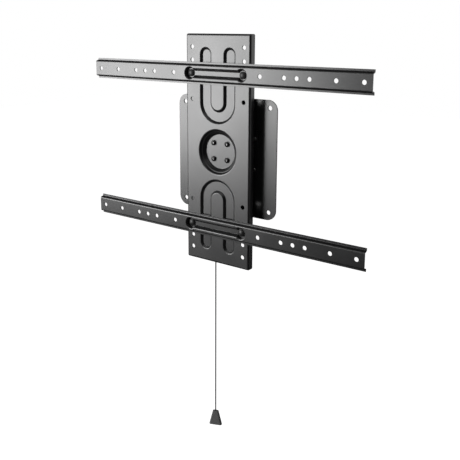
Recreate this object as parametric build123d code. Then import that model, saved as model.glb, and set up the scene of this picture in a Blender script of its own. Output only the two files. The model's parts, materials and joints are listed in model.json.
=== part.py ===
from build123d import *
import math
import os

# Rotating television wall bracket, in millimetres.
# The origin is the middle of the four wall holes, on the wall. X is to the right, Z is up,
# and the front of the bracket, where the television hangs, faces -Y.

# Wall plate
WALL_PLATE_WIDTH = 232.0
WALL_PLATE_HEIGHT = 230.0
WALL_PLATE_THICKNESS = 3.0
WALL_PLATE_CORNER = 20.0
WALL_HOLE_SPACING = 200.0
WALL_HOLE_RADIUS = 4.5

# Hub axis above the middle of the wall holes
HUB_Z = 10.0

# Turntable, held between the wall plate and the bridge
REAR_WASHER_THICKNESS = 2.0
WASHER_OUTER_RADIUS = 33.5
REAR_WASHER_INNER_RADIUS = 15.0
TURNTABLE_RADIUS = 56.0
TURNTABLE_THICKNESS = 4.0
BOSS_RADIUS = 28.0
NOTCH_WIDTH = 10.6
NOTCH_DEPTH = 6.5
FRONT_WASHER_THICKNESS = 1.5
COLLAR_RADIUS = 30.0
COLLAR_LIP = 0.5
RUNNING_CLEARANCE = 0.05

# Bridge that holds the turntable in
BRIDGE_THICKNESS = 2.5
BRIDGE_BEND = 1.5
BRIDGE_SIDE_GAP = 2.5
BRIDGE_FOOT = 15.0
BRIDGE_HEIGHT = 92.0
BRIDGE_RIVET_SPACING = 60.0

# Stop pin and its arc slot, which let the turntable turn a quarter turn each way
TURN_LIMIT = 90.0
STOP_PIN_RADIUS = 3.0
STOP_PIN_ORBIT = 38.0
STOP_GAP = 0.3
STOP_HEAD_RADIUS = 4.5
STOP_HEAD_HEIGHT = 1.0

# Rivets
RIVET_RADIUS = 2.5
RIVET_HEAD_RADIUS = 4.2
RIVET_HEAD_HEIGHT = 1.8
RIVET_FIT = 0.05

# Face plate
FACE_WIDTH = 150.0
FACE_HEIGHT = 449.0
FACE_DEPTH = 13.5
FACE_THICKNESS = 2.5
FACE_BEND = 4.0
FACE_CORNER = 3.0
FACE_FRONT = -31.0
RAIL_HOLE_INSET = 15.0
RAIL_HOLE_X = FACE_WIDTH / 2 - RAIL_HOLE_INSET
RAIL_HOLE_HEIGHTS = (200.0, 175.0, 150.0, 100.0)
RAIL_HOLE_RADIUS = 4.25

# U-shaped grooves pressed into the face plate
GROOVE_DEPTH = 4.0
GROOVE_TAPER = 48.0
GROOVE_OUTER_X = 41.0
GROOVE_INNER_X = 14.5
GROOVE_BEND_Z = 95.5
GROOVE_END_Z = 199.4
GROOVE_LIP = 2.5

# Stepped recess in the middle of the face plate, radius and depth of each corner of its wall
RECESS_RIM = 43.8
RECESS_STEP_OUTER = 40.8
RECESS_STEP_OUTER_DEPTH = 4.1
RECESS_STEP_INNER = 39.2
RECESS_STEP_INNER_DEPTH = 4.75
RECESS_FLOOR = 33.8
RECESS_DEPTH = 11.0
RECESS_LIP = 3.5
RECESS_ROUNDING = 1.0
RECESS_WALL_GROWTH = 1.5

# Hub screws in the floor of the recess
HUB_SCREW_OFFSET = 15.8
HUB_SCREW_RADIUS = 3.0
HUB_SCREW_LENGTH = 13.0
HUB_HEAD_RADIUS = 5.25
HUB_HEAD_HEIGHT = 4.2
HUB_HEAD_DOME = 7.5
HUB_HEX = 4.0
HUB_HEX_DEPTH = 1.3
SCREW_FIT = 0.05

# Television rails
RAIL_LENGTH = 630.0
RAIL_SPACING = 300.0
RAIL_THICKNESS = 2.0
RAIL_DEPTH = 9.0
RAIL_WEB = 29.2
RAIL_FOOT_INNER = 32.8
RAIL_HEIGHT = 42.0
RAIL_BEND = 1.0
TV_HOLE_POSITIONS = (100.0, 150.0, 175.0, 200.0, 250.0, 300.0)
TV_HOLE_RADIUS = 4.25
POCKET_END_RADIUS = 11.7
POCKET_END_FLOOR = 8.6
POCKET_BAND = 17.6
POCKET_BAND_FLOOR = 8.4
POCKET_LIP_WIDTH = 1.2
POCKET_LIP_DEPTH = 0.4
POCKET_BROW_WIDTH = 0.9
POCKET_BROW_DEPTH = 1.2

# Carriage bolts that hold the rails on the face plate, each with a square neck in the rail
RAIL_BOLT_RADIUS = 4.0
RAIL_BOLT_NECK = 8.0
RAIL_BOLT_HEAD_RADIUS = 6.9
RAIL_BOLT_HEAD_HEIGHT = 4.0
RAIL_BOLT_DOME = 12.0
RAIL_WASHER_RADIUS = 8.0
RAIL_WASHER_THICKNESS = 1.6
NUT_FLATS = 13.0
NUT_HEIGHT = 6.5
BOLT_END = 1.5

# Latch bolt, drawn in its pulled position, just clear of the turntable
LATCH_TRAVEL = 6.0
LATCH_TIP_GAP = 0.6
LATCH_TIP_WIDTH = 10.0
LATCH_TIP_LENGTH = 10.0
LATCH_WIDTH = 24.0
LATCH_THICKNESS = 4.0
LATCH_BOTTOM = -112.0
LATCH_WINDOW_WIDTH = 8.0
LATCH_WINDOW_TOP = -69.0
LATCH_WINDOW_BOTTOM = -91.0
EAR_LEFT = -24.0
EAR_RIGHT = -10.0
EAR_TOP = -105.5
EAR_SHELF_FRONT = -13.4
EAR_SHELF_THICKNESS = 3.0

# Guide of the latch bolt
GUIDE_THICKNESS = 2.0
GUIDE_SIDE_GAP = 0.4
GUIDE_FRONT_GAP = 0.3
GUIDE_TOP = -66.0
GUIDE_BOTTOM = -98.0
GUIDE_FOOT = 12.0
GUIDE_BEND = 1.0
GUIDE_RIVET_INSET = 7.0
TAB_WIDTH = 6.0
TAB_TOP = -81.0
TAB_THICKNESS = 2.0
PAD_GAP = 0.2

# Spring between the tab of the guide and the top of the window
SPRING_RADIUS = 1.7
SPRING_WIRE = 0.23
SPRING_TURNS = 7
SPRING_END_GAP = 0.05

# Pull cord and its flat tapered knob, which hangs a little turned
CORD_X = -17.6
CORD_Y = -11.2
CORD_RADIUS = 1.3
CORD_HOLE_RADIUS = 1.5
FERRULE_RADIUS = 2.0
FERRULE_LENGTH = 5.0
FERRULE_CAP = 1.0
KNOB_TOP = -564.5
KNOB_HEIGHT = 31.5
KNOB_TOP_WIDTH = 11.9
KNOB_TOP_THICKNESS = 6.4
KNOB_TOP_CORNER = 2.4
KNOB_BOTTOM_WIDTH = 27.8
KNOB_BOTTOM_THICKNESS = 8.6
KNOB_BOTTOM_CORNER = 3.6
KNOB_TURN = 22.0
KNOB_EDGE = 0.8
KNOT_RADIUS = 2.3
KNOT_GAP = 0.2
KNOT_DEPTH = 20.0

# Levels along Y, from the wall to the front
WALL_FRONT = -WALL_PLATE_THICKNESS
TURNTABLE_BACK = WALL_FRONT - REAR_WASHER_THICKNESS
TURNTABLE_FRONT = TURNTABLE_BACK - TURNTABLE_THICKNESS
BRIDGE_BACK = TURNTABLE_FRONT - FRONT_WASHER_THICKNESS
BRIDGE_FRONT = BRIDGE_BACK - BRIDGE_THICKNESS
RECESS_FRONT = FACE_FRONT + RECESS_DEPTH
RECESS_BACK = RECESS_FRONT + FACE_THICKNESS
FACE_BACK = FACE_FRONT + FACE_THICKNESS
RAIL_FRONT = FACE_FRONT - RAIL_DEPTH
POCKET_DEPTH = RAIL_DEPTH - RAIL_THICKNESS
POCKET_FLOOR = RAIL_FRONT + POCKET_DEPTH
LATCH_BACK = TURNTABLE_BACK
LATCH_FRONT = LATCH_BACK - LATCH_THICKNESS
GUIDE_BACK = LATCH_FRONT - GUIDE_FRONT_GAP


def at(x, y, z):
    """A place given from the hub axis in X and Z, and from the wall in Y."""
    return Pos(x, y, HUB_Z + z)


def slab(x_low, x_high, y_low, y_high, z_low, z_high):
    """A box between two corners, measured from the hub axis."""
    size = (x_high - x_low, y_high - y_low, z_high - z_low)
    middle = ((x_low + x_high) / 2, (y_low + y_high) / 2, (z_low + z_high) / 2)
    return at(*middle) * Box(*size)


def rod(radius, x, z, y_back, y_front):
    """A cylinder along Y, from its wall end to its front end."""
    length = y_back - y_front
    turned = Rot(90, 0, 0) * Cylinder(radius, length, align=(Align.CENTER, Align.CENTER, Align.MIN))
    return at(x, y_back, z) * turned


def cone_rod(radius_back, radius_front, x, z, y_back, y_front):
    """A cone along Y, from its wall end to its front end."""
    length = y_back - y_front
    base = (Align.CENTER, Align.CENTER, Align.MIN)
    turned = Rot(90, 0, 0) * Cone(radius_back, radius_front, length, align=base)
    return at(x, y_back, z) * turned


def hex_rod(flats, x, z, y_back, y_front):
    """A hexagonal bar along Y, from its wall end to its front end."""
    outline = RegularPolygon(flats / 2, 6, major_radius=False)
    turned = Rot(90, 0, 0) * extrude(outline, y_back - y_front)
    return at(x, y_back, z) * turned


def sheet_section(points, thickness, bend):
    """The section of a folded sheet, from the middle line of its folds."""
    return trace(FilletPolyline(*points, radius=bend), thickness)


def domed_head(radius, height, dome, x, z, y_base):
    """A round head on a face at y_base, whose top is a part of a sphere."""
    top = y_base - height
    return rod(radius, x, z, y_base, top) & (at(x, top + dome, z) * Sphere(dome))


def pressed_profile(points, lip, rounding):
    """The profile of a pressing, with one radius for its lip and another for its other corners."""
    start, corner, below = points[:3]
    halfway = ((corner[0] + below[0]) / 2, (corner[1] + below[1]) / 2)
    upper = FilletPolyline(start, corner, halfway, radius=lip)
    lower = FilletPolyline(halfway, *points[2:], radius=rounding)
    return upper, lower


def rivet(x, z, head_back):
    """A rivet flush with the wall, whose head lies on the sheet at head_back."""
    shank = rod(RIVET_RADIUS, x, z, 0, head_back)
    head = rod(RIVET_HEAD_RADIUS, x, z, head_back, head_back - RIVET_HEAD_HEIGHT)
    rim = head.faces().sort_by(Axis.Y)[0].edges()
    return shank + fillet(rim, RIVET_HEAD_HEIGHT * 0.6)


def rivet_places(half_x, spacing, middle_z):
    """Where two pairs of rivets go, one pair each side."""
    return [(x, middle_z + z) for x in (-half_x, half_x) for z in (-spacing / 2, spacing / 2)]


# Wall plate, flat, with the four wall holes and the holes of its rivets and stop pin
bridge_inner = TURNTABLE_RADIUS + BRIDGE_SIDE_GAP
bridge_outer = bridge_inner + BRIDGE_THICKNESS + BRIDGE_FOOT
bridge_rivet_x = bridge_outer - BRIDGE_FOOT / 2
bridge_rivet_places = rivet_places(bridge_rivet_x, BRIDGE_RIVET_SPACING, 0)

guide_inner = LATCH_WIDTH / 2 + GUIDE_SIDE_GAP
guide_outer = guide_inner + GUIDE_THICKNESS + GUIDE_FOOT
guide_rivet_x = guide_outer - GUIDE_FOOT / 2
guide_middle = (GUIDE_TOP + GUIDE_BOTTOM) / 2
guide_rivet_spacing = GUIDE_TOP - GUIDE_BOTTOM - 2 * GUIDE_RIVET_INSET
guide_rivet_places = rivet_places(guide_rivet_x, guide_rivet_spacing, guide_middle)

wall_outline = RectangleRounded(WALL_PLATE_WIDTH, WALL_PLATE_HEIGHT, WALL_PLATE_CORNER)
wall_plate = Rot(90, 0, 0) * extrude(wall_outline, WALL_PLATE_THICKNESS)
for x in (-WALL_HOLE_SPACING / 2, WALL_HOLE_SPACING / 2):
    for z in (-WALL_HOLE_SPACING / 2, WALL_HOLE_SPACING / 2):
        wall_plate -= rod(WALL_HOLE_RADIUS, x, z - HUB_Z, 1, WALL_FRONT - 1)
for x, z in bridge_rivet_places + guide_rivet_places:
    wall_plate -= rod(RIVET_RADIUS + RIVET_FIT, x, z, 1, WALL_FRONT - 1)
wall_plate -= rod(STOP_PIN_RADIUS + RIVET_FIT, 0, STOP_PIN_ORBIT, 1, WALL_FRONT - 1)

# Plastic rings that the turntable turns between
rear_washer = rod(WASHER_OUTER_RADIUS, 0, 0, WALL_FRONT, TURNTABLE_BACK)
rear_washer -= rod(REAR_WASHER_INNER_RADIUS, 0, 0, WALL_FRONT + 1, TURNTABLE_BACK - 1)

bearing_bore = BOSS_RADIUS + RUNNING_CLEARANCE
front_bearing = rod(WASHER_OUTER_RADIUS, 0, 0, TURNTABLE_FRONT, BRIDGE_BACK)
front_bearing += rod(COLLAR_RADIUS, 0, 0, BRIDGE_BACK, BRIDGE_FRONT - COLLAR_LIP)
front_bearing -= rod(bearing_bore, 0, 0, TURNTABLE_FRONT + 1, BRIDGE_FRONT - 2)

# Turntable: a disc with a boss, three notches in its rim and the arc slot of the stop pin
turntable = rod(TURNTABLE_RADIUS, 0, 0, TURNTABLE_BACK, TURNTABLE_FRONT)
turntable += rod(BOSS_RADIUS, 0, 0, TURNTABLE_FRONT, RECESS_BACK)
notch_floor = TURNTABLE_RADIUS - NOTCH_DEPTH
notch = slab(-NOTCH_WIDTH / 2, NOTCH_WIDTH / 2, TURNTABLE_FRONT - 1, TURNTABLE_BACK + 1,
             -TURNTABLE_RADIUS - 2, -notch_floor)
hub_axis = Axis((0, 0, HUB_Z), (0, 1, 0))
for angle in (-TURN_LIMIT, 0, TURN_LIMIT):
    turntable -= notch.rotate(hub_axis, angle)
slot_half = STOP_PIN_RADIUS + STOP_GAP
slot_ring = rod(STOP_PIN_ORBIT + slot_half, 0, 0, TURNTABLE_BACK + 1, TURNTABLE_FRONT - 1)
slot_ring -= rod(STOP_PIN_ORBIT - slot_half, 0, 0, TURNTABLE_BACK + 2, TURNTABLE_FRONT - 2)
upper_half = slab(-TURNTABLE_RADIUS, TURNTABLE_RADIUS, TURNTABLE_FRONT - 2, TURNTABLE_BACK + 2,
                  0, TURNTABLE_RADIUS)
turntable -= slot_ring & upper_half
for side in (-1, 1):
    turntable -= rod(slot_half, side * STOP_PIN_ORBIT, 0, TURNTABLE_BACK + 1, TURNTABLE_FRONT - 1)
screw_end = RECESS_FRONT + HUB_SCREW_LENGTH
hub_screw_places = [(x, z) for x in (-HUB_SCREW_OFFSET, HUB_SCREW_OFFSET)
                    for z in (-HUB_SCREW_OFFSET, HUB_SCREW_OFFSET)]
for x, z in hub_screw_places:
    turntable -= rod(HUB_SCREW_RADIUS + SCREW_FIT, x, z, screw_end + 1, RECESS_BACK - 1)

# Bridge: one folded strap with two feet and a hole for the bearing collar
bridge_points = [
    (-bridge_outer, WALL_FRONT - BRIDGE_THICKNESS / 2),
    (-bridge_inner - BRIDGE_THICKNESS / 2, WALL_FRONT - BRIDGE_THICKNESS / 2),
    (-bridge_inner - BRIDGE_THICKNESS / 2, BRIDGE_BACK - BRIDGE_THICKNESS / 2),
    (bridge_inner + BRIDGE_THICKNESS / 2, BRIDGE_BACK - BRIDGE_THICKNESS / 2),
    (bridge_inner + BRIDGE_THICKNESS / 2, WALL_FRONT - BRIDGE_THICKNESS / 2),
    (bridge_outer, WALL_FRONT - BRIDGE_THICKNESS / 2),
]
bridge_section = sheet_section(bridge_points, BRIDGE_THICKNESS, BRIDGE_BEND)
hub_bridge = at(0, 0, 0) * extrude(bridge_section, BRIDGE_HEIGHT / 2, both=True)
hub_bridge -= rod(COLLAR_RADIUS + RUNNING_CLEARANCE, 0, 0, BRIDGE_BACK + 1, BRIDGE_FRONT - 1)
hub_bridge -= rod(STOP_PIN_RADIUS + RIVET_FIT, 0, STOP_PIN_ORBIT, BRIDGE_BACK + 1, BRIDGE_FRONT - 1)
for x, z in bridge_rivet_places:
    hub_bridge -= rod(RIVET_RADIUS + RIVET_FIT, x, z, WALL_FRONT + 1, WALL_FRONT - BRIDGE_THICKNESS - 1)
bridge_rivets = [rivet(x, z, WALL_FRONT - BRIDGE_THICKNESS) for x, z in bridge_rivet_places]

# Stop pin, riveted through the wall plate and the bridge
stop_pin = rod(STOP_PIN_RADIUS, 0, STOP_PIN_ORBIT, 0, BRIDGE_FRONT)
stop_pin += rod(STOP_HEAD_RADIUS, 0, STOP_PIN_ORBIT, BRIDGE_FRONT, BRIDGE_FRONT - STOP_HEAD_HEIGHT)

# Latch bolt: a flat bolt with a spring window, and an ear folded forward to hold the cord
tip_top = -TURNTABLE_RADIUS - LATCH_TIP_GAP
shoulder = tip_top - LATCH_TIP_LENGTH
half = LATCH_WIDTH / 2
tip_half = LATCH_TIP_WIDTH / 2
latch_slide = slab(-half, half, LATCH_FRONT, LATCH_BACK, LATCH_BOTTOM, shoulder)
latch_slide += slab(-tip_half, tip_half, LATCH_FRONT, LATCH_BACK, shoulder, tip_top)
latch_slide -= slab(-LATCH_WINDOW_WIDTH / 2, LATCH_WINDOW_WIDTH / 2, LATCH_FRONT - 1, LATCH_BACK + 1,
                    LATCH_WINDOW_BOTTOM, LATCH_WINDOW_TOP)
latch_slide += slab(EAR_LEFT, -half, LATCH_FRONT, LATCH_BACK, LATCH_BOTTOM, EAR_TOP)
latch_slide += slab(EAR_LEFT, EAR_RIGHT, EAR_SHELF_FRONT, LATCH_BACK,
                    LATCH_BOTTOM - EAR_SHELF_THICKNESS, LATCH_BOTTOM)
latch_slide -= at(CORD_X, CORD_Y, LATCH_BOTTOM) * Cylinder(CORD_HOLE_RADIUS, 4 * EAR_SHELF_THICKNESS)

# Latch guide: one folded strap with two feet, and a tab folded back into the spring window
guide_points = [
    (-guide_outer, WALL_FRONT - GUIDE_THICKNESS / 2),
    (-guide_inner - GUIDE_THICKNESS / 2, WALL_FRONT - GUIDE_THICKNESS / 2),
    (-guide_inner - GUIDE_THICKNESS / 2, GUIDE_BACK - GUIDE_THICKNESS / 2),
    (guide_inner + GUIDE_THICKNESS / 2, GUIDE_BACK - GUIDE_THICKNESS / 2),
    (guide_inner + GUIDE_THICKNESS / 2, WALL_FRONT - GUIDE_THICKNESS / 2),
    (guide_outer, WALL_FRONT - GUIDE_THICKNESS / 2),
]
guide_section = sheet_section(guide_points, GUIDE_THICKNESS, GUIDE_BEND + GUIDE_THICKNESS / 2)
guide_height = GUIDE_TOP - GUIDE_BOTTOM
latch_guide = at(0, 0, guide_middle) * extrude(guide_section, guide_height / 2, both=True)
latch_guide += slab(-TAB_WIDTH / 2, TAB_WIDTH / 2, GUIDE_BACK - 1, LATCH_BACK + PAD_GAP / 2,
                    TAB_TOP - TAB_THICKNESS, TAB_TOP)
for x, z in guide_rivet_places:
    latch_guide -= rod(RIVET_RADIUS + RIVET_FIT, x, z, WALL_FRONT + 1, WALL_FRONT - GUIDE_THICKNESS - 1)
guide_rivets = [rivet(x, z, WALL_FRONT - GUIDE_THICKNESS) for x, z in guide_rivet_places]
latch_pad = slab(-half, half, LATCH_BACK + PAD_GAP, WALL_FRONT, GUIDE_BOTTOM, GUIDE_TOP)

# Spring, wound between the tab and the top of the window
spring_low = TAB_TOP + SPRING_WIRE + SPRING_END_GAP
spring_high = LATCH_WINDOW_TOP - SPRING_WIRE - SPRING_END_GAP
spring_length = spring_high - spring_low
coil = Helix(spring_length / SPRING_TURNS, spring_length, SPRING_RADIUS)
wire = Plane(coil @ 0, z_dir=coil % 0) * Circle(SPRING_WIRE)
spring_y = (LATCH_FRONT + LATCH_BACK) / 2
latch_spring = at(0, spring_y, spring_low) * sweep(wire, path=coil)

# Pull cord with its ferrule on the ear of the latch bolt, and the knot that holds the knob
cord_top = LATCH_BOTTOM + FERRULE_LENGTH - FERRULE_CAP
knot_z = KNOB_TOP - KNOT_DEPTH
pull_cord = at(CORD_X, CORD_Y, (cord_top + knot_z) / 2) * Cylinder(CORD_RADIUS, cord_top - knot_z)
cord_ferrule = at(CORD_X, CORD_Y, LATCH_BOTTOM + FERRULE_LENGTH / 2) * Cylinder(FERRULE_RADIUS, FERRULE_LENGTH)
cord_ferrule -= pull_cord
cord_knot = at(CORD_X, CORD_Y, knot_z) * Sphere(KNOT_RADIUS)
cord_knot -= pull_cord

# Knob: flat with round sides and wider at the bottom, with a bore for the cord and a chamber for the knot
knob_top = Pos(0, 0, KNOB_HEIGHT) * RectangleRounded(KNOB_TOP_WIDTH, KNOB_TOP_THICKNESS, KNOB_TOP_CORNER)
knob_bottom = RectangleRounded(KNOB_BOTTOM_WIDTH, KNOB_BOTTOM_THICKNESS, KNOB_BOTTOM_CORNER)
knob_body = loft([knob_bottom, knob_top])
knob_body = fillet(knob_body.faces().filter_by(GeomType.PLANE).edges(), KNOB_EDGE)
chamber_height = KNOB_HEIGHT - KNOT_DEPTH + KNOT_RADIUS
base = (Align.CENTER, Align.CENTER, Align.MIN)
knob_body -= Cylinder(KNOT_RADIUS + KNOT_GAP, chamber_height, align=base)
knob_body -= Cylinder(CORD_RADIUS + RUNNING_CLEARANCE, KNOB_HEIGHT, align=base)
cord_knob = at(CORD_X, CORD_Y, KNOB_TOP - KNOB_HEIGHT) * Rot(0, 0, KNOB_TURN) * knob_body

# Face plate: a folded tray, seen first as a solid block and then hollowed from behind
face_block = Box(FACE_WIDTH, FACE_DEPTH, FACE_HEIGHT)
face_block = fillet(face_block.edges().filter_by(Axis.Y), FACE_CORNER)
face_block = fillet(face_block.faces().sort_by(Axis.Y)[0].edges(), FACE_BEND)
inner = Box(FACE_WIDTH - 2 * FACE_THICKNESS, FACE_DEPTH, FACE_HEIGHT - 2 * FACE_THICKNESS)
inner = fillet(inner.edges().filter_by(Axis.Y), FACE_CORNER - 1.5)
inner = fillet(inner.faces().sort_by(Axis.Y)[0].edges(), FACE_BEND - FACE_THICKNESS)
tray = face_block - Pos(0, FACE_THICKNESS, 0) * inner
face_plate = at(0, FACE_FRONT + FACE_DEPTH / 2, 0) * tray


def groove_outline(side, grow):
    """A U outline round the hub, open upward or downward, grown by a margin."""
    outer = GROOVE_OUTER_X + grow
    inner_x = GROOVE_INNER_X - grow
    end_radius = (GROOVE_OUTER_X - GROOVE_INNER_X) / 2 + grow
    end_x = (GROOVE_OUTER_X + GROOVE_INNER_X) / 2
    end_z = GROOVE_END_Z - (GROOVE_OUTER_X - GROOVE_INNER_X) / 2
    arm = end_z - GROOVE_BEND_Z
    outline = Circle(outer) - Circle(inner_x)
    outline -= Pos(0, outer / 2) * Rectangle(2 * outer, outer)
    for x in (-end_x, end_x):
        outline += Pos(x, arm / 2) * Rectangle(2 * end_radius, arm)
        outline += Pos(x, arm) * Circle(end_radius)
    turned = Rot(0, 0, 0 if side > 0 else 180) * outline
    return Pos(0, side * GROOVE_BEND_Z) * turned


def groove(side, grow, y_front, depth):
    """A tapered groove along its U outline, from y_front toward the wall."""
    base = Plane((0, y_front, HUB_Z), x_dir=(1, 0, 0), z_dir=(0, -1, 0))
    return extrude(base * groove_outline(side, grow), -depth, taper=GROOVE_TAPER)


def recess_solid(shift, grow, lip, y_open):
    """What the recess takes up, moved toward the wall and grown outward, open to the front."""
    front_y = FACE_FRONT + shift
    floor_y = RECESS_FRONT + shift
    rim_x = RECESS_RIM + grow + 2 * lip
    corners = [
        (rim_x, front_y),
        (RECESS_RIM + grow, front_y),
        (RECESS_STEP_OUTER + grow, front_y + RECESS_STEP_OUTER_DEPTH),
        (RECESS_STEP_INNER + grow, front_y + RECESS_STEP_INNER_DEPTH),
        (RECESS_FLOOR + grow, floor_y),
        (0, floor_y),
    ]
    lid = Polyline((0, floor_y), (0, y_open), (rim_x, y_open), (rim_x, front_y))
    outline = make_face([*pressed_profile(corners, lip, RECESS_ROUNDING), lid])
    return at(0, 0, 0) * revolve(outline, Axis.Y)


# Pressings of the face plate: first what bulges behind it, then what is pressed in from the front
taper = math.radians(GROOVE_TAPER)
bulge_grow = FACE_THICKNESS * (1 / math.cos(taper) - math.tan(taper))
for side in (1, -1):
    face_plate += groove(side, bulge_grow, FACE_BACK, GROOVE_DEPTH)
face_plate += recess_solid(FACE_THICKNESS, RECESS_WALL_GROWTH, RECESS_ROUNDING, FACE_FRONT + 1)
for side in (1, -1):
    face_plate -= groove(side, 0, FACE_FRONT, GROOVE_DEPTH)
groove_edges = face_plate.edges().filter_by_position(Axis.Y, FACE_FRONT - 0.01, FACE_FRONT + 0.01)
groove_edges = groove_edges.filter_by_position(Axis.X, -GROOVE_OUTER_X - 1, GROOVE_OUTER_X + 1)
groove_edges = groove_edges.filter_by_position(Axis.Z, HUB_Z - GROOVE_END_Z - 1, HUB_Z + GROOVE_END_Z + 1)
face_plate = fillet(groove_edges, GROOVE_LIP)
face_plate -= recess_solid(0, 0, RECESS_LIP, FACE_FRONT - 1)
for x in (-RAIL_HOLE_X, RAIL_HOLE_X):
    for height in RAIL_HOLE_HEIGHTS:
        for z in (-height, height):
            face_plate -= rod(RAIL_HOLE_RADIUS, x, z, FACE_BACK + 1, FACE_FRONT - 1)
for x, z in hub_screw_places:
    face_plate -= rod(HUB_SCREW_RADIUS + SCREW_FIT, x, z, RECESS_BACK + 1, RECESS_FRONT - 1)


def hub_screw(x, z):
    """A screw with a domed head and a hexagon socket, from the recess into the boss."""
    head = domed_head(HUB_HEAD_RADIUS, HUB_HEAD_HEIGHT, HUB_HEAD_DOME, x, z, RECESS_FRONT)
    screw = head + rod(HUB_SCREW_RADIUS, x, z, screw_end, RECESS_FRONT)
    top = RECESS_FRONT - HUB_HEAD_HEIGHT
    return screw - hex_rod(HUB_HEX, x, z, top + HUB_HEX_DEPTH, top - 1)


hub_screws = [hub_screw(x, z) for x, z in hub_screw_places]


def pocket_section(half_front, half_floor):
    """Half the section of the pocket of a rail: a shallow lip, a brow, the wall and the floor."""
    outline = [
        (half_front + POCKET_LIP_WIDTH, RAIL_FRONT),
        (half_front, RAIL_FRONT + POCKET_LIP_DEPTH),
        (half_front - POCKET_BROW_WIDTH, RAIL_FRONT + POCKET_BROW_DEPTH),
        (half_floor, POCKET_FLOOR),
        (0, POCKET_FLOOR),
        (0, RAIL_FRONT - 1),
        (half_front + POCKET_LIP_WIDTH, RAIL_FRONT - 1),
    ]
    return make_face(Polyline(*outline, close=True))


def rail(z):
    """A hat-section rail with its pocket and its television holes."""
    foot_y = FACE_FRONT - RAIL_THICKNESS / 2
    web_y = RAIL_FRONT + RAIL_THICKNESS / 2
    points = [
        (foot_y, -RAIL_HEIGHT / 2),
        (foot_y, -RAIL_FOOT_INNER / 2),
        (web_y, -RAIL_WEB / 2),
        (web_y, RAIL_WEB / 2),
        (foot_y, RAIL_FOOT_INNER / 2),
        (foot_y, RAIL_HEIGHT / 2),
    ]
    section = sheet_section(points, RAIL_THICKNESS, RAIL_BEND + RAIL_THICKNESS / 2)
    body = at(0, 0, z) * extrude(Plane.YZ * section, RAIL_LENGTH / 2, both=True)

    skin = RAIL_THICKNESS
    skin_front = RAIL_FRONT + 1
    for x in (-RAIL_HOLE_X, RAIL_HOLE_X):
        body += cone_rod(POCKET_END_FLOOR + skin, POCKET_END_RADIUS + skin, x, z, FACE_FRONT, skin_front)
    front_half = POCKET_BAND / 2 + skin
    floor_half = POCKET_BAND_FLOOR / 2 + skin
    behind_band = [
        (skin_front, front_half), (FACE_FRONT, floor_half),
        (FACE_FRONT, -floor_half), (skin_front, -front_half),
    ]
    band = Plane.YZ * make_face(Polyline(*behind_band, close=True))
    body += at(0, 0, z) * extrude(band, RAIL_HOLE_X, both=True)

    neck_half = RAIL_BOLT_NECK / 2 + SCREW_FIT
    end_section = pocket_section(POCKET_END_RADIUS, POCKET_END_FLOOR)
    for x in (-RAIL_HOLE_X, RAIL_HOLE_X):
        body -= at(x, 0, z) * revolve(end_section, Axis.Y)
        body -= slab(x - neck_half, x + neck_half, POCKET_FLOOR - 1, FACE_FRONT + 1,
                     z - neck_half, z + neck_half)
    band_section = pocket_section(POCKET_BAND / 2, POCKET_BAND_FLOOR / 2)
    for turn in (-90, 90):
        body -= at(0, 0, z) * Rot(0, turn, 0) * extrude(band_section, RAIL_HOLE_X, both=True)

    for position in TV_HOLE_POSITIONS:
        for x in (-position, position):
            body -= rod(TV_HOLE_RADIUS, x, z, FACE_FRONT + 1, RAIL_FRONT - 1)
    return body


def rail_bolt(x, z):
    """A bolt with a domed head on the pocket floor and a square neck, through to behind the face plate."""
    head = domed_head(RAIL_BOLT_HEAD_RADIUS, RAIL_BOLT_HEAD_HEIGHT, RAIL_BOLT_DOME, x, z, POCKET_FLOOR)
    half = RAIL_BOLT_NECK / 2
    neck = slab(x - half, x + half, POCKET_FLOOR, FACE_FRONT, z - half, z + half)
    end = FACE_BACK + RAIL_WASHER_THICKNESS + NUT_HEIGHT + BOLT_END
    return head + neck + rod(RAIL_BOLT_RADIUS, x, z, end, POCKET_FLOOR)


def rail_washer(x, z):
    """A washer behind the face plate."""
    back = FACE_BACK + RAIL_WASHER_THICKNESS
    washer = rod(RAIL_WASHER_RADIUS, x, z, back, FACE_BACK)
    return washer - rod(RAIL_HOLE_RADIUS, x, z, back + 1, FACE_BACK - 1)


def rail_nut(x, z):
    """A nut on the washer."""
    front = FACE_BACK + RAIL_WASHER_THICKNESS
    nut = hex_rod(NUT_FLATS, x, z, front + NUT_HEIGHT, front)
    return nut - rod(RAIL_BOLT_RADIUS + SCREW_FIT, x, z, front + NUT_HEIGHT + 1, front - 1)


upper_z = RAIL_SPACING / 2
lower_z = -RAIL_SPACING / 2
upper_rail = rail(upper_z)
lower_rail = rail(lower_z)
sides = (-RAIL_HOLE_X, RAIL_HOLE_X)
upper_rail_bolts = [rail_bolt(x, upper_z) for x in sides]
lower_rail_bolts = [rail_bolt(x, lower_z) for x in sides]
rail_washers = [rail_washer(x, z) for x in sides for z in (lower_z, upper_z)]
rail_nuts = [rail_nut(x, z) for x in sides for z in (lower_z, upper_z)]

nodes = {
    "wall_plate": wall_plate,
    "hub_bridge": hub_bridge,
    "bridge_rivets": bridge_rivets,
    "rear_washer": rear_washer,
    "front_bearing": front_bearing,
    "stop_pin": stop_pin,
    "turntable": turntable,
    "face_plate": face_plate,
    "hub_screws": hub_screws,
    "upper_rail": upper_rail,
    "lower_rail": lower_rail,
    "upper_rail_bolts": upper_rail_bolts,
    "lower_rail_bolts": lower_rail_bolts,
    "rail_washers": rail_washers,
    "rail_nuts": rail_nuts,
    "latch_slide": latch_slide,
    "latch_guide": latch_guide,
    "guide_rivets": guide_rivets,
    "latch_pad": latch_pad,
    "latch_spring": latch_spring,
    "cord_ferrule": cord_ferrule,
    "pull_cord": pull_cord,
    "cord_knob": cord_knob,
    "cord_knot": cord_knot,
}

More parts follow.
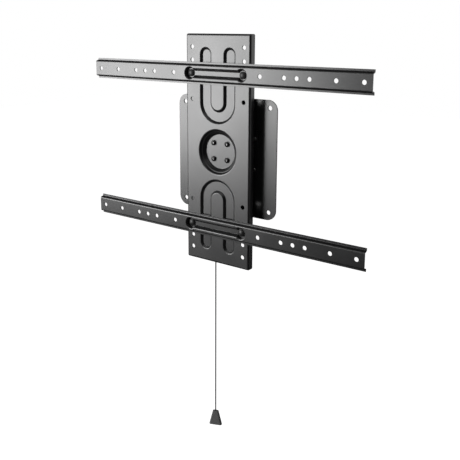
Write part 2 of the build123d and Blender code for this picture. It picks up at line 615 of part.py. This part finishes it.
os.makedirs("parts", exist_ok=True)
for name, shape in nodes.items():
    if isinstance(shape, list):
        shape = Compound(children=shape)
    export_step(shape, f"parts/{name}.step")
    print(name, "volume", round(shape.volume, 1))
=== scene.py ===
import json
import math

import bpy
from mathutils import Euler, Matrix, Vector


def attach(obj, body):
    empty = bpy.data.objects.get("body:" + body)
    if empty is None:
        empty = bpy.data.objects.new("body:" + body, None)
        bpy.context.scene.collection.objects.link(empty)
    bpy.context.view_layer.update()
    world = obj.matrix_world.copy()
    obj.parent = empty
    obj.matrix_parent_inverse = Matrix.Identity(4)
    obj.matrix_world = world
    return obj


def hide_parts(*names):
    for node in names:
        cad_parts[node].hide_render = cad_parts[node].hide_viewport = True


# Looks of a rotating television wall bracket, in metres, in the frame of its solids:
# the origin is the middle of the four wall holes, X is right, Z is up and the front faces -Y.

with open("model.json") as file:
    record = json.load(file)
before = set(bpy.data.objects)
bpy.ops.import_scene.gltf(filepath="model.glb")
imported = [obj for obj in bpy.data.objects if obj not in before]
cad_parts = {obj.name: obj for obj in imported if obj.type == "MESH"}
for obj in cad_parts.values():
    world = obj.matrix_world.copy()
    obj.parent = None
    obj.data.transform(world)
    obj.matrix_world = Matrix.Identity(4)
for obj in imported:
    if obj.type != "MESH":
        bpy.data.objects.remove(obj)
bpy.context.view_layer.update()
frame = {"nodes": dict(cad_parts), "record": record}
nodes = frame["nodes"]

# Camera of the photograph, with its angles in degrees and its lens in millimetres
CAMERA_PLACE = (0.7322, -1.0259, 0.2432)
CAMERA_TURN = 35.207
CAMERA_TILT = 11.171
CAMERA_ROLL = 0.302
CAMERA_LENS = 51.10
CAMERA_SHIFT = -0.1567
SENSOR_WIDTH = 36.0

# One large soft lamp, at a turn and a rise in degrees from the front
SOFTBOX_DISTANCE = 2.6
SOFTBOX_TURN = 41.8
SOFTBOX_RISE = 2.4
SOFTBOX_WIDTH = 1.42
SOFTBOX_HEIGHT = 1.25
SOFTBOX_RADIANCE = 11.5

# White surroundings and a pale floor
FILL_LIGHT = 0.15
BACKGROUND = 1.0
FLOOR_Z = -0.70
FLOOR_SIZE = 12.0
FLOOR_GREY = 0.85
FLOOR_GLOW = 0.86

# Dark panels of the studio: curtains behind the camera and beyond the softbox, each between two turns from
# the front, and a level panel above and below, each from x to x, from y to y and at its height
PANEL_GREY = 0.01
CURTAIN_DISTANCE = 2.0
CURTAIN_STEPS = 16
CURTAIN_HEIGHTS = (-0.65, 1.6)
FRONT_CURTAIN = (-20.0, 90.0)
LEFT_CURTAIN = (-170.0, -62.0)
CEILING_PANEL = (-2.0, 1.2, -1.0, 2.0, 1.6)
GROUND_PANEL = (-2.2, 2.4, -2.2, 2.2, -0.66)

# Black powder coat, and the rounding of edges that the light picks out
COAT_DARK = (0.009, 0.009, 0.0094)
COAT_LIGHT = (0.014, 0.014, 0.0144)
COAT_PEEL = 0.000006
SHEET_EDGE = 0.0003
SMALL_EDGE = 0.0002
NYLON_EDGE = 0.0001

# Braid of the cord, coloured darker in the gaps between its strands as painted shade, and its route down
# from the ferrule, as in the solids
BRAID_GAP_SHADE = (0.004, 0.004, 0.004)
BRAID_CROWN = (0.012, 0.012, 0.0125)
BRAID_STRANDS = 6
BRAID_PITCH = 0.012
BRAID_RELIEF = 0.00003
CORD_X = -0.0176
CORD_Y = -0.0112
CORD_TOP = -0.098
CORD_BOTTOM = -0.5745
CORD_RADIUS = 0.0013
CORD_ROUTE = [(0, 0, CORD_TOP), (0, 0, -0.112), (0, 0, -0.33), (0, 0, -0.54), (0, 0, CORD_BOTTOM)]

# Overhand knot inside the knob
KNOT_LOOP = 0.00052
KNOT_RISE = 0.0009
KNOT_STRAND = 0.00062
KNOT_STEPS = 24


def new_material(name):
    """A new node material, its tree and its main shader."""
    material = bpy.data.materials.new(name)
    material.use_nodes = True
    tree = material.node_tree
    return material, tree, tree.nodes["Principled BSDF"]


def add(tree, kind, **settings):
    """A node with some of its settings made."""
    node = tree.nodes.new(kind)
    for key, value in settings.items():
        setattr(node, key, value)
    return node


def noise(tree, scale, detail, stretch=(1, 1, 1)):
    """Noise fixed to the object, with a scale in features per metre."""
    place = add(tree, "ShaderNodeTexCoord")
    mapping = add(tree, "ShaderNodeMapping")
    mapping.inputs["Scale"].default_value = stretch
    texture = add(tree, "ShaderNodeTexNoise")
    texture.inputs["Scale"].default_value = scale
    texture.inputs["Detail"].default_value = detail
    tree.links.new(place.outputs["Object"], mapping.inputs["Vector"])
    tree.links.new(mapping.outputs["Vector"], texture.inputs["Vector"])
    return texture.outputs["Fac"]


def spread(tree, value, low, high):
    """The middle part of some noise, spread from low to high."""
    remap = add(tree, "ShaderNodeMapRange")
    remap.inputs["From Min"].default_value = 0.3
    remap.inputs["From Max"].default_value = 0.7
    remap.inputs["To Min"].default_value = low
    remap.inputs["To Max"].default_value = high
    tree.links.new(value, remap.inputs["Value"])
    return remap.outputs["Result"]


def tint(tree, value, low, high):
    """A colour between two, led by a value from 0 to 1."""
    mix = add(tree, "ShaderNodeMix", data_type="RGBA")
    mix.inputs["A"].default_value = (*low, 1)
    mix.inputs["B"].default_value = (*high, 1)
    tree.links.new(value, mix.inputs["Factor"])
    return mix.outputs["Result"]


def relief(tree, value, height, edge=0.0):
    """A normal with a fine relief, over edges rounded by a small radius."""
    bump = add(tree, "ShaderNodeBump")
    bump.inputs["Strength"].default_value = 1.0
    bump.inputs["Distance"].default_value = height
    tree.links.new(value, bump.inputs["Height"])
    if edge:
        bevel = add(tree, "ShaderNodeBevel", samples=6)
        bevel.inputs["Radius"].default_value = edge
        tree.links.new(bevel.outputs["Normal"], bump.inputs["Normal"])
    return bump.outputs["Normal"]


def coated_steel(name, dark, light, rough, ior, peel, edge):
    """Black powder coat: a fine orange peel, and gloss that varies a little."""
    material, tree, shader = new_material(name)
    cloud = noise(tree, scale=14.0, detail=4.0)
    grain = noise(tree, scale=900.0, detail=2.0)
    link = tree.links.new
    link(tint(tree, spread(tree, cloud, 0.0, 1.0), dark, light), shader.inputs["Base Color"])
    link(spread(tree, cloud, rough - 0.02, rough + 0.02), shader.inputs["Roughness"])
    link(relief(tree, grain, peel, edge), shader.inputs["Normal"])
    shader.inputs["IOR"].default_value = ior
    return material


def plated_steel(name, dark, light, rough, edge):
    """Zinc plated steel, with faint drawn streaks and small clouds."""
    material, tree, shader = new_material(name)
    cloud = noise(tree, scale=60.0, detail=4.0)
    streaks = noise(tree, scale=500.0, detail=2.0, stretch=(1, 1, 0.08))
    link = tree.links.new
    link(tint(tree, spread(tree, cloud, 0.0, 1.0), dark, light), shader.inputs["Base Color"])
    link(spread(tree, streaks, rough - 0.06, rough + 0.06), shader.inputs["Roughness"])
    link(relief(tree, streaks, 0.000004, edge), shader.inputs["Normal"])
    shader.inputs["Metallic"].default_value = 1.0
    return material


def moulded_plastic(name, dark, light, rough, grain_scale, grain_height, edge):
    """Moulded plastic with a fine grain."""
    material, tree, shader = new_material(name)
    cloud = noise(tree, scale=80.0, detail=3.0)
    grain = noise(tree, scale=grain_scale, detail=2.0)
    link = tree.links.new
    link(tint(tree, spread(tree, cloud, 0.0, 1.0), dark, light), shader.inputs["Base Color"])
    link(spread(tree, grain, rough - 0.04, rough + 0.04), shader.inputs["Roughness"])
    link(relief(tree, grain, grain_height, edge), shader.inputs["Normal"])
    return material


def braided_cord(name):
    """A round braid: two sets of strands that cross, wound round the Z axis of the piece, with painted
    shade darkening the gaps between strands.
    """
    material, tree, shader = new_material(name)
    link = tree.links.new
    place = add(tree, "ShaderNodeTexCoord")
    split = add(tree, "ShaderNodeSeparateXYZ")
    link(place.outputs["Object"], split.inputs["Vector"])
    angle = add(tree, "ShaderNodeMath", operation="ARCTAN2")
    link(split.outputs["Y"], angle.inputs[0])
    link(split.outputs["X"], angle.inputs[1])
    waves = []
    for direction in (-1, 1):
        turn = add(tree, "ShaderNodeMath", operation="MULTIPLY")
        turn.inputs[1].default_value = direction * BRAID_STRANDS
        link(angle.outputs["Value"], turn.inputs[0])
        rise = add(tree, "ShaderNodeMath", operation="MULTIPLY_ADD")
        rise.inputs[1].default_value = 2 * math.pi * BRAID_STRANDS / BRAID_PITCH
        link(split.outputs["Z"], rise.inputs[0])
        link(turn.outputs["Value"], rise.inputs[2])
        wave = add(tree, "ShaderNodeMath", operation="SINE")
        link(rise.outputs["Value"], wave.inputs[0])
        waves.append(wave.outputs["Value"])
    weave = add(tree, "ShaderNodeMath", operation="MAXIMUM")
    link(waves[0], weave.inputs[0])
    link(waves[1], weave.inputs[1])
    height = add(tree, "ShaderNodeMapRange")
    height.inputs["From Min"].default_value = -1.0
    link(weave.outputs["Value"], height.inputs["Value"])
    # Painted shade: the colour runs from dark in the gaps between strands to lighter on their crowns
    link(tint(tree, height.outputs["Result"], BRAID_GAP_SHADE, BRAID_CROWN), shader.inputs["Base Color"])
    link(relief(tree, height.outputs["Result"], BRAID_RELIEF), shader.inputs["Normal"])
    shader.inputs["Roughness"].default_value = 0.85
    shader.inputs["IOR"].default_value = 1.35
    return material


def cover(node, material):
    """One finish on the whole of a node."""
    for material_slot in nodes[node].material_slots:
        material_slot.material = material


def new_object(name, data):
    """A new object in the scene."""
    thing = bpy.data.objects.new(name, data)
    bpy.context.scene.collection.objects.link(thing)
    return thing


def flat_faces(name, corners, faces):
    """A new object of flat faces."""
    mesh = bpy.data.meshes.new(name)
    mesh.from_pydata(corners, [], faces)
    return new_object(name, mesh)


def level_corners(x_low, x_high, y_low, y_high, z):
    """The corners of a level rectangle."""
    return [(x_low, y_low, z), (x_high, y_low, z), (x_high, y_high, z), (x_low, y_high, z)]


def round_strand(name, points, radius, roundness, smoothness, order, closed):
    """A round strand along a smooth spline that the points lead, either closed or from end to end."""
    curve = bpy.data.curves.new(name, "CURVE")
    curve.dimensions = "3D"
    curve.bevel_depth = radius
    curve.bevel_resolution = roundness
    curve.resolution_u = smoothness
    spline = curve.splines.new("NURBS")
    spline.points.add(len(points) - 1)
    for point, place in zip(spline.points, points):
        point.co = (*place, 1)
    spline.order_u = order
    spline.use_cyclic_u = closed
    spline.use_endpoint_u = not closed
    return new_object(name, curve)


def knot_point(step):
    """A point of the overhand knot round the origin."""
    turn = 2 * math.pi * step / KNOT_STEPS
    x = KNOT_LOOP * (math.sin(turn) + 2 * math.sin(2 * turn))
    y = KNOT_LOOP * (math.cos(turn) - 2 * math.cos(2 * turn))
    return x, y, -KNOT_RISE * math.sin(3 * turn)


def make_pull_cord(braid):
    """The pull cord with its knot, for the cord and the bead of the solids."""
    cord = round_strand("braided_pull_cord", CORD_ROUTE, CORD_RADIUS, roundness=6, smoothness=12,
                        order=3, closed=False)
    cord.location = (CORD_X, CORD_Y, 0)
    cord.data.materials.append(braid)
    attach(cord, "latch")
    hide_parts("pull_cord")

    knot_route = [knot_point(step) for step in range(KNOT_STEPS)]
    knot = round_strand("tied_knot", knot_route, KNOT_STRAND, roundness=4, smoothness=6,
                        order=4, closed=True)
    knot.location = (CORD_X, CORD_Y, CORD_BOTTOM)
    knot.data.materials.append(braid)
    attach(knot, "latch")
    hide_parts("cord_knot")


def light_path_white(tree, plain):
    """A mix whose second shader is seen, also in reflections, and whose plain one only lights."""
    rays = add(tree, "ShaderNodeLightPath")
    seen = rays.outputs["Is Camera Ray"]
    for kind in ("Is Glossy Ray", "Is Transmission Ray"):
        either = add(tree, "ShaderNodeMath", operation="MAXIMUM")
        tree.links.new(seen, either.inputs[0])
        tree.links.new(rays.outputs[kind], either.inputs[1])
        seen = either.outputs["Value"]
    mix = add(tree, "ShaderNodeMixShader")
    tree.links.new(seen, mix.inputs["Fac"])
    tree.links.new(plain, mix.inputs[1])
    return mix


def make_world():
    """A white surrounding that lights the object only softly."""
    world = bpy.data.worlds.new("studio")
    world.use_nodes = True
    tree = world.node_tree
    plain = tree.nodes["Background"]
    plain.inputs["Color"].default_value = (1, 1, 1, 1)
    plain.inputs["Strength"].default_value = FILL_LIGHT
    white = add(tree, "ShaderNodeBackground")
    white.inputs["Color"].default_value = (1, 1, 1, 1)
    white.inputs["Strength"].default_value = BACKGROUND
    mix = light_path_white(tree, plain.outputs["Background"])
    tree.links.new(white.outputs["Background"], mix.inputs[2])
    tree.links.new(mix.outputs["Shader"], tree.nodes["World Output"].inputs["Surface"])
    bpy.context.scene.world = world


def make_floor():
    """A plain pale floor under the bracket."""
    half = FLOOR_SIZE / 2
    floor = flat_faces("floor", level_corners(-half, half, -half, half, FLOOR_Z), [(0, 1, 2, 3)])
    material, tree, shader = new_material("floor")
    shader.inputs["Base Color"].default_value = (FLOOR_GREY, FLOOR_GREY, FLOOR_GREY, 1)
    shader.inputs["Roughness"].default_value = 0.9
    glow = add(tree, "ShaderNodeEmission")
    glow.inputs["Strength"].default_value = FLOOR_GLOW
    lit = add(tree, "ShaderNodeAddShader")
    tree.links.new(shader.outputs["BSDF"], lit.inputs[0])
    tree.links.new(glow.outputs["Emission"], lit.inputs[1])
    mix = light_path_white(tree, shader.outputs["BSDF"])
    tree.links.new(lit.outputs["Shader"], mix.inputs[2])
    tree.links.new(mix.outputs["Shader"], tree.nodes["Material Output"].inputs["Surface"])
    floor.data.materials.append(material)


def make_panel(name, corners, faces):
    """A dark panel that only shows in the gloss of the steel."""
    panel = flat_faces(name, corners, faces)
    material, tree, shader = new_material(name)
    shader.inputs["Base Color"].default_value = (PANEL_GREY, PANEL_GREY, PANEL_GREY, 1)
    shader.inputs["Roughness"].default_value = 1.0
    panel.data.materials.append(material)
    panel.visible_camera = False
    panel.visible_diffuse = False
    panel.visible_shadow = False


def make_curtain(name, first, last):
    """A dark curtain round the bracket, between two turns from the front."""
    corners = []
    for step in range(CURTAIN_STEPS + 1):
        turn = math.radians(first + (last - first) * step / CURTAIN_STEPS)
        for height in CURTAIN_HEIGHTS:
            corners.append((CURTAIN_DISTANCE * math.sin(turn), -CURTAIN_DISTANCE * math.cos(turn), height))
    faces = [(2 * n, 2 * n + 2, 2 * n + 3, 2 * n + 1) for n in range(CURTAIN_STEPS)]
    make_panel(name, corners, faces)


def make_softbox():
    """One large soft lamp on the left of the bracket."""
    turn = math.radians(SOFTBOX_TURN)
    rise = math.radians(SOFTBOX_RISE)
    toward = Vector((-math.sin(turn) * math.cos(rise), -math.cos(turn) * math.cos(rise), math.sin(rise)))
    lamp = bpy.data.lights.new("softbox", "AREA")
    lamp.shape = "RECTANGLE"
    lamp.size = SOFTBOX_WIDTH
    lamp.size_y = SOFTBOX_HEIGHT
    lamp.energy = SOFTBOX_RADIANCE * math.pi * SOFTBOX_WIDTH * SOFTBOX_HEIGHT
    softbox = new_object("softbox", lamp)
    softbox.location = toward * SOFTBOX_DISTANCE
    softbox.rotation_euler = toward.to_track_quat("Z", "Y").to_euler()


def make_camera():
    """The photograph's camera."""
    data = bpy.data.cameras.new("camera")
    data.lens = CAMERA_LENS
    data.sensor_width = SENSOR_WIDTH
    data.shift_y = CAMERA_SHIFT
    data.clip_start = 0.01
    camera = new_object("camera", data)
    level = Euler((math.radians(90 - CAMERA_TILT), 0, math.radians(CAMERA_TURN))).to_matrix()
    rolled = level @ Matrix.Rotation(math.radians(CAMERA_ROLL), 3, "Z")
    camera.location = CAMERA_PLACE
    camera.rotation_euler = rolled.to_euler()
    bpy.context.scene.camera = camera


steel = coated_steel("black_steel", COAT_DARK, COAT_LIGHT, rough=0.31, ior=1.56,
                     peel=COAT_PEEL, edge=SHEET_EDGE)
face_steel = coated_steel("black_face_steel", COAT_DARK, COAT_LIGHT, rough=0.34, ior=1.62,
                          peel=COAT_PEEL, edge=SHEET_EDGE)
screw = coated_steel("black_screw", (0.008, 0.008, 0.008), (0.012, 0.012, 0.012), rough=0.24, ior=1.60,
                     peel=0.000003, edge=SMALL_EDGE)
bolt = coated_steel("black_oxide", (0.010, 0.010, 0.010), (0.016, 0.016, 0.016), rough=0.42, ior=1.38,
                    peel=0.000008, edge=SMALL_EDGE)
plated = plated_steel("plain_steel", (0.50, 0.50, 0.49), (0.62, 0.62, 0.60), rough=0.34, edge=SMALL_EDGE)
nylon = moulded_plastic("white_nylon", (0.70, 0.69, 0.64), (0.78, 0.77, 0.72), rough=0.50,
                        grain_scale=1500.0, grain_height=0.000008, edge=NYLON_EDGE)
plastic = moulded_plastic("black_plastic", (0.100, 0.100, 0.100), (0.130, 0.130, 0.130), rough=0.50,
                          grain_scale=2500.0, grain_height=0.000012, edge=SMALL_EDGE)
braid = braided_cord("grey_cord")

finishes = {
    "black_steel": steel,
    "black_screw": screw,
    "black_oxide": bolt,
    "plain_steel": plated,
    "white_nylon": nylon,
    "black_plastic": plastic,
    "grey_cord": braid,
}
for part in frame["record"]["subparts"]:
    cover(part["node"], finishes[part["material_slot"]])
cover("face_plate", face_steel)

make_pull_cord(braid)
make_world()
make_floor()
make_panel("dark_ceiling", level_corners(*CEILING_PANEL), [(0, 1, 2, 3)])
make_panel("dark_ground", level_corners(*GROUND_PANEL), [(0, 1, 2, 3)])
make_curtain("front_curtain", *FRONT_CURTAIN)
make_curtain("left_curtain", *LEFT_CURTAIN)
make_softbox()
make_camera()
bpy.context.scene.view_settings.view_transform = "Standard"
